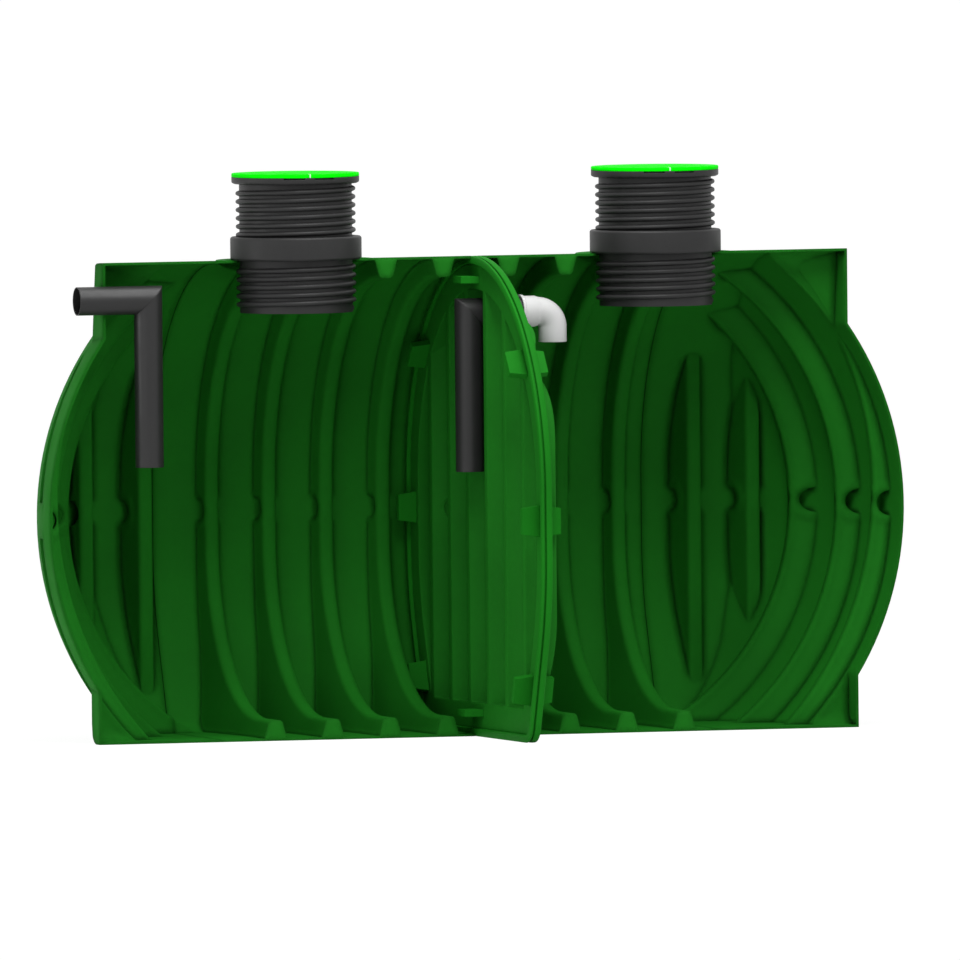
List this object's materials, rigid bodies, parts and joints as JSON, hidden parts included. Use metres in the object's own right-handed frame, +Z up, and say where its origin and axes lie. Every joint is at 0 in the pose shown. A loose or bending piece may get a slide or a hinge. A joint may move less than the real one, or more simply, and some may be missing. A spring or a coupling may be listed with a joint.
{
  "type": "septic tank cutaway",
  "caption": "Ribbed green plastic septic tank, cut open lengthwise: domed ends, fluted partition, inlet, transfer pipe and elbow, threaded access shafts with lids.",
  "frame": {"origin": "on the floor, in the middle of the tank's length, on the plane of the cut", "axes": "+X along the tank from the inlet end to the other end, +Y towards the side that keeps its shell, +Z up"},
  "size_m": [3.4598, 1.79, 2.196],
  "materials": {
    "green_shell": "satin moulded polyethylene",
    "green_rim": "satin moulded polyethylene",
    "green_lid": "smooth moulded plastic",
    "black_plastic": "satin pipe plastic",
    "white_plastic": "smooth pipe plastic"
  },
  "bodies": {
    "root": {"left_end": "green_shell", "left_barrel": "green_shell", "right_barrel": "green_shell", "right_end": "green_shell", "partition_panel": "green_shell", "partition_rim": "green_rim", "left_lugs": "green_rim", "right_lugs": "green_rim", "inlet_pipe": "black_plastic", "inlet_drop_pipe": "black_plastic", "transfer_pipe": "black_plastic", "transfer_drop_pipe": "black_plastic", "elbow_socket": "white_plastic", "elbow_bend": "white_plastic", "elbow_spigot": "white_plastic", "elbow_bead": "white_plastic", "left_lower_riser": "black_plastic", "left_lower_threads": "black_plastic", "left_collar": "black_plastic", "left_upper_riser": "black_plastic", "left_upper_threads": "black_plastic", "left_lid_seat": "black_plastic", "left_lid": "green_lid", "right_lower_riser": "black_plastic", "right_lower_threads": "black_plastic", "right_collar": "black_plastic", "right_upper_riser": "black_plastic", "right_upper_threads": "black_plastic", "right_lid_seat": "black_plastic", "right_lid": "green_lid"}
  },
  "joints": []
}
